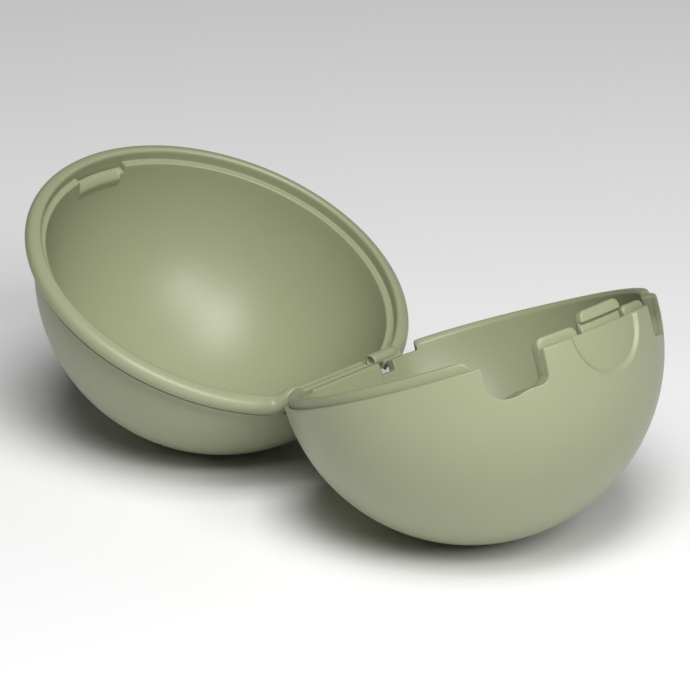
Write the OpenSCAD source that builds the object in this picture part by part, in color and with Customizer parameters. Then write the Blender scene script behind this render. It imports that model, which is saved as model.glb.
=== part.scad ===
// Ball-shaped pacifier case, standing open on both of its bowls.
// Every piece is drawn shut, about the centre of the ball: +X to the latch, Y along the
// hinge, +Z from the base bowl to the lid. It is then laid down with the lid swung open.

/* [Ball] */
// Outer radius of both bowls
ball_r = 46; // [45:0.5:48]
// Angle the lid swings from shut to fully open
open_angle = 132.5; // [125:0.5:140]

/* [Base bowl] */
// Wall of the outer shell
shell_wall = 1.2; // [1:0.1:1.3]
// Air between the shell and the liner
shell_gap = 0.15; // [0.1:0.05:0.25]
// Wall of the inner liner
liner_wall = 2.15; // [1.9:0.05:2.4]
// Height of the liner's tongue above the shell's edge
tongue_h = 2.4; // [2:0.1:3]
// Bevel on the inner side of the tongue's top
tongue_bevel = 1; // [0.5:0.1:1.4]
// Distance between a strap mouth and the start of each long tongue
tongue_back = 0.78; // [0.6:0.02:2]
// Angle between the hinge and the end of each long tongue
tongue_end = 28; // [25.5:0.1:32]
// Radius of the tongue's upper corners
tongue_corner = 1.5; // [0.8:0.1:1.8]

/* [Strap mouths] */
// Distance from the middle to the near side of each mouth
mouth_y = 18.6; // [17:0.1:19]
// Width of each mouth
mouth_w = 12.9; // [11.5:0.1:13.1]
// Depth of each mouth's flat sill
mouth_depth = 8; // [6:0.1:10]
// Extra depth of the round belly beside the sill
mouth_belly = 0.8; // [0.4:0.1:1.2]
// Radius of the belly's corner
belly_r = 4.6; // [4:0.1:5]
// Radius of the sill's corner
mouth_corner = 1.9; // [1:0.1:2.5]

/* [Thumb recess] */
// Radius of the half-round recess under the latch
thumb_r = 11.1; // [9.5:0.1:12]
// Depth of the recess
thumb_depth = 1.2; // [0.8:0.1:1.4]
// Wall left behind the recess
thumb_wall = 1; // [0.8:0.1:1.1]

/* [Latch] */
// Width of the sprung hook
hook_w = 13.8; // [12:0.2:15]
// Height of the hook above the shell's edge
hook_h = 4.95; // [4.2:0.05:5.2]
// Height of the hook's lip
lip_h = 2.6; // [2:0.1:3]
// Gap between the lip and the collar's inner wall
lip_gap = 0.32; // [0.25:0.01:0.5]
// Depth of the hook's root below the shell's edge
hook_root = 8; // [6:0.1:9]
// Wall of the hook's stem
hook_wall = 1.4; // [1.2:0.05:1.5]
// Radius of the lip's upper corners
hook_corner = 2.2; // [1:0.1:2.4]
// Slit on each side of the hook
slit_w = 1.5; // [0.8:0.1:1.6]
// Clearance around the hook's root
root_gap = 0.15; // [0.1:0.05:0.2]

/* [Hinge] */
// Depth of the hinge line inside the ball
hinge_inset = 1.5; // [1.3:0.05:1.6]
// Height of the hinge line above the middle of the ball
hinge_z = -0.3; // [-0.4:0.05:-0.1]
// Radius of the hinge pin
pin_r = 0.75; // [0.6:0.05:0.9]
// Radial clearance of the pin in its bores
pin_clear = 0.05; // [0.02:0.01:0.1]
// Radius of the base's knuckle
knuckle_r = 1.35; // [1.2:0.05:1.45]
// End of the knuckle on the long arm's side
knuckle_right = 7.2; // [5:0.1:8]
// End of the knuckle on the short arm's side
knuckle_left = 15.6; // [14:0.1:15.7]
// Radius of the lid's tubular hinge arms
arm_r = 1.7; // [1.5:0.05:1.8]
// Rise of an arm's middle over the hinge line with the lid open
arm_rise = 1.15; // [0.9:0.05:1.2]
// Start of the long arm
arm_right = 10.3; // [9.5:0.1:11]
// Start of the short arm
arm_left = 16.1; // [16.1:0.1:16.8]
// Radius of the lugs that turn on the pin
lug_r = 1.6; // [1.4:0.05:1.7]
// Start of the long arm's lug
lug_right = 12.9; // [12.7:0.1:14]
// End of the window in the hinge wall
window_end = 12.9; // [12:0.1:13.2]
// Depth of the window below the shell's edge
window_depth = 3.7; // [3.6:0.05:4]

/* [Lid] */
// Wall of the lid bowl
lid_wall = 2.15; // [1.9:0.05:2.4]
// Height of the lid's inner ledge above the middle of the ball
ledge_z = 3.5; // [3.4:0.05:3.8]
// Depth of the collar's inner wall inside the ball
collar_inset = 0.4; // [0.3:0.02:0.5]
// Radius of the bead's section
bead_r = 2.06; // [1.9:0.02:2.2]
// Distance of the bead's middle outside the ball
bead_out = 1.15; // [1:0.05:1.4]
// Height of the bead's middle
bead_z = 3.1; // [3:0.05:3.3]
// Radius of the collar's inner lip
lip_round = 0.9; // [0.7:0.05:1]
// Height of the collar's foot on the bowl
foot_z = 7.05; // [6.6:0.05:7.5]
// Step of the collar's foot outside the bowl
foot_step = 1.1; // [0.7:0.1:1.3]
// Distance from the middle to each end of the collar's ring, along the hinge
collar_stop = 22.14; // [21.5:0.1:22.8]
// Width of the catch inside the lid
catch_w = 16.6; // [15.8:0.2:18]
// Reach of the catch's sloping pad inside the bowl's wall
catch_reach = 1.9; // [1:0.1:2.2]

/* [Hidden] */

$fn = 96;
sage = [0.63, 0.65, 0.52];
sage_deep = [0.56, 0.58, 0.45];
eps = 0.01;
far = 2 * ball_r;
hinge_x = ball_r - hinge_inset;
collar_r = ball_r - collar_inset;
bead_ring_r = ball_r + bead_out;

// Nested walls of the base
shell_in = ball_r - shell_wall;
liner_out = shell_in - shell_gap;
liner_in = liner_out - liner_wall;
edge_round = 0.3;
liner_top = 0.15;
corner_shift = 0.03;
tongue_start = asin((mouth_y + mouth_w + tongue_back) / liner_out);

// Flat walls by the hinge
block_deep = 5.1;
hinge_room = 2.1;
lid_flat_wall = 1.8;
flat_in = hinge_x - block_deep;
lid_flat_out = hinge_x - hinge_room;
lid_flat_in = lid_flat_out - lid_flat_wall;
lid_flat_low = 1.45;
block_low = -6;
block_top = 0.4;
pad_r = ball_r - thumb_depth - thumb_wall;
pad_margin = 0.9;
pad_out = pad_r - shell_gap;
rim_clear = edge_round + shell_gap;

// Room that the lid's arms sweep as they turn about the pin
end_clear = 0.3;
sweep_r = arm_rise + arm_r + end_clear;
sweep_end = 22.6;
bore_r = pin_r + pin_clear;
notch_z = hinge_z - knuckle_r - end_clear;
lug_end = 19.6;
bore_floor = 0.6;
pin_end_gap = 0.3;

// Middle of an arm with the lid shut
arm_x = -hinge_x + arm_rise * sin(open_angle);
arm_z = hinge_z + arm_rise * cos(open_angle);
arm_end = 18.6;
arm_bore_r = 0.95;
arm_bore_depth = 2;
web_wall = 1.3;
elbow_step = 0.08;
neck_r = 1.4;
collar_end = asin(collar_stop / bead_ring_r);
neck_angle = collar_end - 0.25;
neck_ring_r = bead_ring_r - 0.14;
neck_from = [-neck_ring_r * cos(neck_angle), neck_ring_r * sin(neck_angle), bead_z - 0.5];

// Latch
lip_r = collar_r - lip_gap;
hook_in = liner_in + 0.1;
slit_y = hook_w / 2 + slit_w;
lip_edge = 0.5;

// Lid
lid_in = ball_r - lid_wall;
seat_gap = 0.02;
lip_low = 0.65;
foot_r = sqrt(ball_r * ball_r - foot_z * foot_z) + foot_step;
shoulder_z = bead_z + bead_r - 0.05;
shoulder_r = bead_ring_r + 0.45;
groove_z = foot_z - 1;
groove_r = 0.15;
catch_half = asin(catch_w / 2 / collar_r);
pocket_top = hook_h + 0.3;
pad_slope = 1.1;
pad_edge = 0.6;
pad_foot = 2.6;

// Lie of the open case: both bowls touch the floor
hinge_dist = norm([hinge_x, hinge_z]);
base_tilt = 90 - open_angle / 2 - atan2(-hinge_z, hinge_x);
lid_tilt = 180 - open_angle - base_tilt;
centre_dist = 2 * hinge_dist * sin(open_angle / 2);
bead_reach = bead_ring_r * cos(lid_tilt) + bead_z * sin(lid_tilt) + bead_r;
base_cx = (centre_dist + max(ball_r, bead_reach) - ball_r) / 2;

module lay_base() {
    translate([base_cx, 0, ball_r]) rotate([0, -base_tilt, 0]) children();
}

module lay_lid() {
    lay_base()
        translate([-hinge_x, 0, hinge_z])
            rotate([0, -open_angle, 0])
                translate([hinge_x, 0, -hinge_z]) children();
}

module below(z) {
    translate([-far, -far, z - 2 * far]) cube(2 * far);
}

// Everything on the hinge's side of a plane across X
module behind(x) {
    translate([x - 2 * far, -far, -far]) cube(2 * far);
}

// A rod along the hinge's direction
module rod(x, z, r, low, high) {
    translate([x, low, z]) rotate([-90, 0, 0]) cylinder(h = high - low, r = r);
}

module both_sides() {
    children();
    mirror([0, 1, 0]) children();
}

// Outline seen along X, pushed through the wall on the latch's side
module through_x() {
    rotate([90, 0, 90]) linear_extrude(far) children();
}

// Upright tab with round upper corners, from one distance along the hinge to another
module tab(from, to, low, high, corner) {
    translate([from, low]) square([to - from, high - corner - low]);
    translate([from + corner, high - corner - eps]) square([to - from - 2 * corner, corner + eps]);
    translate([from + corner, high - corner]) circle(r = corner);
    translate([to - corner, high - corner]) circle(r = corner);
}

// One strap mouth: a flat sill with a round corner, and a deeper belly away from the latch
module mouth() {
    sill_z = -mouth_depth;
    belly_y = mouth_y + mouth_w - belly_r;
    belly_z = sill_z - mouth_belly + belly_r;
    through_x() {
        translate([mouth_y, sill_z + mouth_corner]) square([mouth_w, far]);
        translate([mouth_y + mouth_corner, sill_z]) square([mouth_w - mouth_corner - belly_r, belly_r]);
        translate([mouth_y + mouth_corner, sill_z + mouth_corner]) circle(r = mouth_corner);
        translate([belly_y, belly_z]) circle(r = belly_r);
    }
}

// Round zone under the latch, seen along X
module thumb_zone(r) {
    rotate([0, 90, 0]) cylinder(h = far, r = r);
}

// Half section of a bowl's wall below the middle of the ball
module bowl_section(outer, inner) {
    difference() {
        circle(r = outer);
        circle(r = inner);
        translate([-far, 0]) square(2 * far);
        translate([-2 * far, -far]) square(2 * far);
    }
}

// Room that the lid's arms need beside the hinge line
module arm_room() {
    rod(-hinge_x, hinge_z, sweep_r, arm_right - end_clear, sweep_end);
    rod(-hinge_x, hinge_z, sweep_r, -sweep_end, -arm_left + end_clear);
}

// Zone above a height, between two angles from the latch
module sector(from, to, low) {
    steps = 6;
    translate([0, 0, low])
        linear_extrude(far)
            polygon(concat([[0, 0]], [for (k = [0 : steps]) let (a = from + (to - from) * k / steps)
                                          far * [cos(a), sin(a)]]));
}

// Rounds the upper corner of the tongue where it ends at an angle from the latch
module corner_cut(angle, side) {
    rotate([0, 0, angle])
        mirror([0, side, 0])
            translate([liner_in - 1, 0, tongue_h - tongue_corner])
                difference() {
                    translate([0, -1, 0]) cube([liner_wall + 2, tongue_corner + 1, tongue_corner + 1]);
                    translate([-1, tongue_corner - corner_shift, corner_shift])
                        rotate([0, 90, 0]) cylinder(h = liner_wall + 4, r = tongue_corner);
                }
}

// Gap in the tongue around each strap mouth, which leaves the short tongue's end round
module mouth_gap() {
    difference() {
        sector(0, tongue_start, liner_top);
        through_x() tab(-mouth_y, mouth_y, -tongue_h, tongue_h, tongue_corner);
    }
    corner_cut(tongue_start, 0);
}

module base_shell() {
    color(sage) lay_base() difference() {
        union() {
            rotate_extrude() {
                bowl_section(ball_r, shell_in);
                polygon([[shell_in, 0], [ball_r, 0], [ball_r - edge_round, edge_round], [shell_in, edge_round]]);
            }
            // Thicker wall behind the thumb recess
            intersection() {
                thumb_zone(thumb_r + pad_margin);
                rotate_extrude() {
                    bowl_section(ball_r - shell_wall / 2, pad_r);
                    translate([pad_r, 0]) square([ball_r - shell_wall / 2 - pad_r, edge_round]);
                }
            }
        }
        difference() {
            thumb_zone(thumb_r);
            translate([-thumb_depth, 0, 0]) rotate([0, 90, 0]) sphere(r = ball_r);
        }
        both_sides() mouth();
        arm_room();
        // Notch for the knuckle
        translate([-far - flat_in + 1, -sweep_end, notch_z])
            cube([far, 2 * sweep_end, far]);
    }
}

module base_liner() {
    color(sage_deep) lay_base() difference() {
        union() {
            difference() {
                rotate_extrude() {
                    bowl_section(liner_out, liner_in);
                    polygon([[liner_in, 0], [liner_out, 0], [liner_out, tongue_h],
                             [liner_in + tongue_bevel, tongue_h], [liner_in, tongue_h - tongue_bevel]]);
                }
                // Long tongues stop short of the hinge
                sector(180 - tongue_end, 180 + tongue_end, liner_top);
                corner_cut(180 - tongue_end, 1);
                corner_cut(180 + tongue_end, 0);
                both_sides() mouth_gap();
            }
            // Flat wall behind the hinge
            intersection() {
                rotate_extrude() {
                    intersection() {
                        circle(r = liner_in + liner_wall / 2);
                        translate([0, -far]) square(far);
                    }
                    square([liner_in + liner_wall / 2, liner_top]);
                }
                behind(-flat_in);
            }
            // Knuckle and the block that carries it
            rod(-hinge_x, hinge_z, knuckle_r, -knuckle_left, knuckle_right);
            translate([0, knuckle_right, 0]) rotate([90, 0, 0])
                linear_extrude(knuckle_right + knuckle_left)
                    polygon([[-hinge_x, hinge_z + knuckle_r], [-flat_in, block_top],
                             [-flat_in, block_low], [-hinge_x, hinge_z - knuckle_r]]);
        }
        both_sides() mouth();
        arm_room();
        // The block stays inside the shell below the shell's notch
        difference() {
            translate([-far - flat_in, -sweep_end, notch_z + shell_gap - far])
                cube([far, 2 * sweep_end, far]);
            sphere(r = liner_out + shell_gap / 2);
        }
        rod(-hinge_x, hinge_z, bore_r, -knuckle_left - 1, knuckle_right + 1);
        // Window beside the knuckle
        translate([-far - flat_in + 3, knuckle_right, -window_depth])
            cube([far, window_end - knuckle_right, far]);
        // Slot for the hook
        through_x() translate([-slit_y, -hook_root - root_gap]) square([2 * slit_y, far]);
        // Room behind the thumb recess
        difference() {
            thumb_zone(thumb_r + pad_margin + shell_gap);
            sphere(r = pad_out);
            translate([-far, -far, rim_clear]) cube(2 * far);
        }
    }
}

// Section of the hook: stem and lip above the shell's edge, thin root below it
module hook_section() {
    lip_z = hook_h - lip_h;
    bowl_section(pad_out, hook_in);
    translate([hook_in, 0]) square([pad_out - hook_in, lip_z]);
    translate([hook_in, rim_clear]) square([hook_wall, lip_z]);
    translate([hook_in, lip_z]) square([lip_r - hook_in, lip_h - lip_edge]);
    translate([hook_in, lip_z]) square([lip_r - hook_in - lip_edge, lip_h]);
    translate([lip_r - lip_edge, hook_h - lip_edge]) circle(r = lip_edge);
}

module latch_hook() {
    color(sage) lay_base() intersection() {
        through_x() tab(-hook_w / 2, hook_w / 2, -hook_root, hook_h, hook_corner);
        rotate_extrude() hook_section();
    }
}

module hinge_pin() {
    color(sage_deep) lay_base()
        rod(-hinge_x, hinge_z, pin_r, -lug_end + bore_floor + pin_end_gap, lug_end - bore_floor - pin_end_gap);
}

// Room left free for the hinge below the top of the collar
module hinge_cut() {
    intersection() {
        behind(-lid_flat_out);
        below(foot_z + end_clear);
    }
}

module lid_bowl() {
    color(sage) lay_lid() {
        difference() {
            sphere(r = ball_r);
            difference() {
                sphere(r = lid_in);
                behind(-lid_flat_in);
            }
            below(ledge_z);
            hinge_cut();
            // Pocket for the hook's lip
            rotate([0, 0, -catch_half]) rotate_extrude(angle = 2 * catch_half)
                translate([lid_in - 2, 0]) square([ball_r, pocket_top]);
        }
        // Sloping pad over the pocket
        rotate([0, 0, -catch_half]) rotate_extrude(angle = 2 * catch_half)
            polygon([[lid_in + 0.6, pocket_top], [lid_in - 0.4, pocket_top],
                     [lid_in - catch_reach, pocket_top + pad_slope],
                     [lid_in - catch_reach, pocket_top + pad_slope + pad_edge],
                     [lid_in - 1, pocket_top + pad_slope + pad_foot],
                     [lid_in - 0.4, pocket_top + pad_slope + pad_foot]]);
    }
}

// Section of the collar: inner wall, rolled lip, bead and tapered foot
module collar_section() {
    lip_z = lip_round + lip_low;
    bead_side = 24;
    bead_top = 60;
    difference() {
        union() {
            translate([bead_ring_r, bead_z]) circle(r = bead_r);
            translate([collar_r + lip_round, lip_z]) circle(r = lip_round);
            translate([collar_r, lip_z]) square([bead_ring_r - collar_r, foot_z - lip_z]);
            polygon([[collar_r + lip_round, lip_low],
                     [bead_ring_r + bead_r * sin(bead_side), bead_z - bead_r * cos(bead_side)],
                     [bead_ring_r, bead_z], [collar_r + lip_round, bead_z]]);
            polygon([[collar_r, bead_z],
                     [bead_ring_r + bead_r * sin(bead_top), bead_z + bead_r * cos(bead_top)],
                     [shoulder_r, shoulder_z], [foot_r, foot_z], [collar_r - 1, foot_z]]);
        }
        translate([(foot_r + shoulder_r) / 2, groove_z]) circle(r = groove_r);
        // Straight inner wall below the ledge
        translate([collar_r - bead_r, 0]) square([bead_r, ledge_z]);
    }
}

// A tapered rod between two points
module strut(from, to, from_r, to_r) {
    way = to - from;
    translate(from)
        rotate([0, acos(way[2] / norm(way)), atan2(way[1], way[0])])
            cylinder(h = norm(way), r1 = from_r, r2 = to_r);
}

// One arm of the lid: neck from the bead's end, hollow tube, web and lug
module hinge_arm(from, lug_from) {
    elbow = [arm_x, arm_end, arm_z];
    translate(elbow) sphere(r = arm_r + elbow_step);
    strut(neck_from, elbow, neck_r, arm_r - elbow_step);
    difference() {
        rod(arm_x, arm_z, arm_r, from, arm_end);
        rod(arm_x, arm_z, arm_bore_r, from - 1, from + arm_bore_depth);
    }
    rod(-hinge_x, hinge_z, lug_r, lug_from, lug_end);
    translate([-lid_flat_out - web_wall / 2, from, arm_z])
        cube([web_wall, lug_end - from, ledge_z - arm_z]);
}

module lid_collar() {
    color(sage) lay_lid() difference() {
        union() {
            difference() {
                union() {
                    rotate([0, 0, collar_end - 180])
                        rotate_extrude(angle = 360 - 2 * collar_end) collar_section();
                    // Flat wall by the hinge
                    intersection() {
                        translate([0, 0, lid_flat_low]) cylinder(h = ledge_z - lid_flat_low, r = collar_r + 0.5);
                        behind(-lid_flat_in);
                    }
                }
                hinge_cut();
            }
            hinge_arm(arm_right, lug_right);
            mirror([0, 1, 0]) hinge_arm(arm_left, arm_left);
        }
        // Seat on the bowl's edge
        difference() {
            sphere(r = ball_r + seat_gap);
            below(ledge_z);
        }
        // Blind bores for the pin
        rod(-hinge_x, hinge_z, bore_r, -lug_end + bore_floor, lug_end - bore_floor);
    }
}

base_shell();
base_liner();
latch_hook();
hinge_pin();
lid_bowl();
lid_collar();
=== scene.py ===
"""Dressed model of a ball-shaped pacifier case that stands open on both of its bowls.

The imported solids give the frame. Each moulded solid is replaced by a finer mesh drawn from the
same sizes, with rounded edges, and takes a moulded plastic material. Everything is drawn shut,
in millimetres about the middle of the ball (+X to the latch, Y along the hinge, +Z from the base
to the lid), and is then laid into the row's frame, in metres, with the lid swung open.
"""

import logging
import math
from dataclasses import dataclass
from enum import Enum
from typing import Iterable, Optional, Sequence

import bmesh
import bpy
import numpy as np
from mathutils import Matrix, Vector


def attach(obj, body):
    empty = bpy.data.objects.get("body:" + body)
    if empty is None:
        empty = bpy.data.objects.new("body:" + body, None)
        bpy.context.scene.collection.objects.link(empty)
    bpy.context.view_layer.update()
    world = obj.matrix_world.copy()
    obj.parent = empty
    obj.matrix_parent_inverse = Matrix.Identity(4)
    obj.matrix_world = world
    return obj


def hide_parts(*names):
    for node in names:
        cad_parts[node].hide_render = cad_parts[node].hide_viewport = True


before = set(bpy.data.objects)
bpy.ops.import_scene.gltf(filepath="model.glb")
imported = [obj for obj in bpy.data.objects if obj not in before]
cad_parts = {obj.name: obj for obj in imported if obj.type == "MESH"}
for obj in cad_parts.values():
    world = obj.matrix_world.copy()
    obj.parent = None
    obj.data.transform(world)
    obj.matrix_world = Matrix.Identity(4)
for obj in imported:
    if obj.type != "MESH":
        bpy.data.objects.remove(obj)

LOG = logging.getLogger("pacifier_case")
MM = 0.001
TINY = 1e-6
ARC_STEP = 11.0
MERGE_WITHIN = 4e-6
QUARTER = np.linspace(0.0, math.pi / 2, 6)
UP = np.array([0.0, 0.0, 1.0])

Corner = tuple[float, ...]
Run = tuple[np.ndarray, np.ndarray, np.ndarray]


class Body(Enum):
    """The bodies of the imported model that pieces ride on."""

    BASE = "base"
    LID = "lid"
    LATCH = "latch"


class Slot(Enum):
    """The record's material slots."""

    SHELL = "sage_shell"
    LINER = "sage_liner"


@dataclass(frozen=True)
class Case:
    """Sizes that several pieces share, in millimetres and degrees.

    Attributes:
        ball_r: Radius of the ball that both bowls make up.
        open_angle: How far the lid stands open.
        hinge_x: Distance of the hinge line from the ball's middle.
        hinge_z: Height of the hinge line.
        base_flat: Distance from the middle of the flat wall inside the base, by the hinge.
        ledge_z: Height of the lid's ledge.
        bead_r: Radius of the collar's bead.
        bead_ring: Radius of the ring that the bead's middle runs along.
        bead_z: Height of the bead's middle.
        hook_half: Half the width of the latch hook.
    """

    ball_r: float = 46.0
    open_angle: float = 132.5
    hinge_x: float = 44.5
    hinge_z: float = -0.3
    base_flat: float = 39.3
    ledge_z: float = 3.5
    bead_r: float = 2.06
    bead_ring: float = 47.15
    bead_z: float = 3.1
    hook_half: float = 6.9


CASE = Case()


@dataclass(frozen=True)
class Lie:
    """How a drawing in millimetres lies in the row's frame, in metres.

    Attributes:
        rotation: Three by three rotation.
        shift: Place of the drawing's origin, in millimetres.
    """

    rotation: np.ndarray
    shift: np.ndarray

    def lay(self, points: np.ndarray) -> np.ndarray:
        """Moves points, an array whose last axis holds x, y and z, into the row's frame."""
        return (points @ self.rotation.T + self.shift) * MM

    def upside_down(self) -> "Lie":
        """The lie of a drawing whose Z runs the other way."""
        return Lie(self.rotation @ np.diag([1.0, 1.0, -1.0]), self.shift)


def turn_y(degrees: float) -> np.ndarray:
    """Three by three rotation about the Y axis, by the right-hand rule."""
    c, s = math.cos(math.radians(degrees)), math.sin(math.radians(degrees))
    return np.array([[c, 0.0, s], [0.0, 1.0, 0.0], [-s, 0.0, c]])


def make_lies() -> tuple[Lie, Lie]:
    """Works out how the base and the open lid lie, each with its ball on the floor.

    Returns:
        The lie of the base and that of the lid.
    """
    half = math.radians(CASE.open_angle / 2)
    base_tilt = 90 - CASE.open_angle / 2 - math.degrees(math.atan2(-CASE.hinge_z, CASE.hinge_x))
    lid_tilt = math.radians(180 - CASE.open_angle - base_tilt)
    apart = 2 * math.hypot(CASE.hinge_x, CASE.hinge_z) * math.sin(half)
    bead = CASE.bead_ring * math.cos(lid_tilt) + CASE.bead_z * math.sin(lid_tilt) + CASE.bead_r
    middle = (apart + max(CASE.ball_r, bead) - CASE.ball_r) / 2
    base = Lie(turn_y(-base_tilt), np.array([middle, 0.0, CASE.ball_r]))
    hinge = np.array([-CASE.hinge_x, 0.0, CASE.hinge_z])
    swing = turn_y(-CASE.open_angle)
    return base, Lie(base.rotation @ swing, base.shift + base.rotation @ (hinge - swing @ hinge))


# Drawing helpers


def unit(v: np.ndarray) -> np.ndarray:
    """Scales vectors, along the last axis, to length one."""
    return v / np.maximum(np.linalg.norm(v, axis=-1, keepdims=True), 1e-12)


def xyz(x: np.ndarray, y: np.ndarray, z: np.ndarray) -> np.ndarray:
    """Stacks coordinates, each an array or one number, into points."""
    return np.stack(np.broadcast_arrays(x, y, z), axis=-1)


def ring_at(angle: float, radius: float, z: float) -> np.ndarray:
    """Point on a level ring, at an angle from the latch in radians."""
    return np.array([radius * math.cos(angle), radius * math.sin(angle), z])


def smooth(value: np.ndarray, low: float, high: float) -> np.ndarray:
    """Rises smoothly from 0 at the low end to 1 at the high end."""
    share = np.clip((value - low) / (high - low), 0.0, 1.0)
    return share * share * (3 - 2 * share)


def mirrored(path: np.ndarray) -> np.ndarray:
    """A path of (y, height) on the other side of the middle, in running order."""
    return path[::-1] * np.array([-1.0, 1.0])


def arc(degrees: float, radius: float) -> float:
    """Length along a skin of a number of degrees."""
    return math.radians(degrees) * radius


def circle_points(u: float, v: float, radius: float, degrees: Iterable[float]) -> list[tuple[float, float]]:
    """Points of a circle about (u, v) at the angles given."""
    return [(u + radius * math.cos(math.radians(a)), v + radius * math.sin(math.radians(a))) for a in degrees]


def corner_arc(at: np.ndarray, before: np.ndarray, after: np.ndarray, radius: float) -> list[np.ndarray]:
    """Points of one rounded corner.

    Args:
        at: The corner.
        before: The point before it.
        after: The point after it.
        radius: Radius of the rounding, or 0.

    Returns:
        The arc's points, or the corner alone where it isn't rounded or doesn't turn.
    """
    back, on = unit(before - at), unit(after - at)
    turn = math.pi - math.acos(float(np.clip(back @ on, -1, 1)))
    if radius <= 0 or turn < 1e-4:
        return [at]
    reach = radius * math.tan(turn / 2)
    centre = at + unit(back + on) * (radius / math.cos(turn / 2))
    first, last = at + back * reach - centre, at + on * reach - centre
    count = max(2, math.ceil(math.degrees(turn) / ARC_STEP))
    points = []
    for k in range(count + 1):
        angle = turn * k / count
        points.append(centre + (math.sin(turn - angle) * first + math.sin(angle) * last) / math.sin(turn))
    return points


def rounded_path(corners: Sequence[Corner], step: float) -> np.ndarray:
    """Samples an open path with rounded corners.

    Args:
        corners: Points as (u, v) or (u, v, radius).
        step: Longest straight step.

    Returns:
        Array of sampled (u, v) points.
    """
    points = [np.array(corner[:2], float) for corner in corners]
    turns = [points[0]]
    for corner, before, at, after in zip(corners[1:], points, points[1:], points[2:]):
        turns += corner_arc(at, before, after, corner[2] if len(corner) > 2 else 0.0)
    dense = [points[0]]
    for point in turns[1:] + [points[-1]]:
        start = dense[-1]
        gap = float(np.linalg.norm(point - start))
        if gap > TINY:
            parts = math.ceil(gap / step)
            dense += [start + (point - start) * k / parts for k in range(1, parts + 1)]
    return np.array(dense)


def make_object(mesh: bpy.types.Mesh, work: bmesh.types.BMesh, sharp_deg: float) -> bpy.types.Object:
    """Makes an object of a drawn mesh.

    Args:
        mesh: Mesh that is filled, and gives its name.
        work: What is drawn, freed here.
        sharp_deg: Angle above which an edge is drawn sharp.

    Returns:
        The new object, linked to the scene.
    """
    work.to_mesh(mesh)
    work.free()
    mesh.polygons.foreach_set("use_smooth", [True] * len(mesh.polygons))
    mesh.set_sharp_from_angle(angle=math.radians(sharp_deg))
    piece = bpy.data.objects.new(mesh.name, mesh)
    bpy.context.scene.collection.objects.link(piece)
    return piece


@dataclass
class Piece:
    """One visible piece of the case.

    Attributes:
        lie: How its drawing lies in the row's frame.
        name: Name of its object.
        body: Body that it rides on.
        slot: Material slot that it takes its finish from.
        solids: Solids that it stands for.
    """

    lie: Lie
    name: str = ""
    body: Body = Body.BASE
    slot: Slot = Slot.SHELL
    solids: tuple[str, ...] = ()

    def build(self) -> bpy.types.Object:
        """Makes the object, each kind of piece in its own way."""
        raise NotImplementedError

    def build_tube(self, rows: np.ndarray, capped: bool = False) -> bpy.types.Object:
        """Makes the object from rows of points, each row closed round.

        Args:
            rows: Array of rows by columns by 3, in drawing coordinates.
            capped: Whether one face closes each end.

        Returns:
            The object.
        """
        here = np.arange(rows.shape[0] * rows.shape[1]).reshape(rows.shape[:2])
        beside = np.roll(here, -1, axis=1)
        faces = np.stack([here[:-1], beside[:-1], beside[1:], here[1:]], axis=-1).reshape(-1, 4).tolist()
        if capped:
            faces += [here[0, ::-1].tolist(), here[-1].tolist()]
        mesh = bpy.data.meshes.new(self.name)
        mesh.from_pydata(self.lie.lay(rows.reshape(-1, 3)).tolist(), [], faces)
        work = bmesh.new()
        work.from_mesh(mesh)
        bmesh.ops.remove_doubles(work, verts=work.verts, dist=MERGE_WITHIN)
        bmesh.ops.dissolve_degenerate(work, edges=work.edges, dist=TINY)
        bmesh.ops.recalc_face_normals(work, faces=work.faces)
        return make_object(mesh, work, 38.0)

    def make(self, finishes: dict[Slot, bpy.types.Material]) -> None:
        """Builds the piece, and ties it to what it belongs to.

        Args:
            finishes: Material of each slot.
        """
        piece = self.build()
        piece.data.materials.append(finishes[self.slot])
        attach(piece, self.body.value)
        if self.solids:
            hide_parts(*self.solids)
        LOG.info("%s: %d faces", piece.name, len(piece.data.polygons))


# Bowls


@dataclass(frozen=True)
class Skin:
    """One face of a bowl's wall: a ball below the middle and a tube above it.

    Attributes:
        radius: Radius of the ball.
        flat: Distance from the middle of a flat by the hinge, or None.
        soft: Width over which the flat blends into the ball.
        flat_reach: Half the flat's width, as a share of the radius.
    """

    radius: float
    flat: Optional[float] = None
    soft: float = 0.8
    flat_reach: float = 0.6

    def ring(self, z: np.ndarray) -> np.ndarray:
        """Radius of the level ring at each height."""
        return np.sqrt(np.maximum(self.radius**2 - np.minimum(z, 0.0) ** 2, 0.0))

    def at(self, az: np.ndarray, z: np.ndarray) -> np.ndarray:
        """Points of the skin.

        Args:
            az: Angles from the latch in radians.
            z: Heights.

        Returns:
            Array of points.
        """
        ring = self.ring(z)
        x, y = ring * np.cos(az), ring * np.sin(az)
        if self.flat is not None:
            eased = 0.5 * (x - self.flat + np.hypot(x + self.flat, self.soft))
            x = np.where(x < 0, eased, x)
        return xyz(x, y, z)

    def chart(self, points: np.ndarray) -> tuple[np.ndarray, np.ndarray]:
        """Works out where on the skin points lie.

        Args:
            points: Points near the skin.

        Returns:
            Their angles and heights.
        """
        x, y, z = points[:, 0], points[:, 1], points[:, 2]
        az = np.arctan2(y, x)
        if self.flat is not None:
            back = np.arctan2(y, -np.sqrt(np.maximum(self.ring(z) ** 2 - y**2, 0.0)))
            az = np.where((x < 0) & (np.abs(y) < self.flat_reach * self.radius), back, az)
        return az, z


@dataclass(frozen=True)
class Rounding:
    """Radius of a wall's edge: full on top of the rim, and fine on the sides of its openings.

    Attributes:
        full: Radius above the upper height.
        fine: Radius below the lower height.
        low: Lower height.
        high: Upper height.
    """

    full: float
    fine: float
    low: float
    high: float

    def at(self, z: np.ndarray) -> np.ndarray:
        """Radius at each height."""
        return self.fine + (self.full - self.fine) * smooth(z, self.low, self.high)


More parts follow.
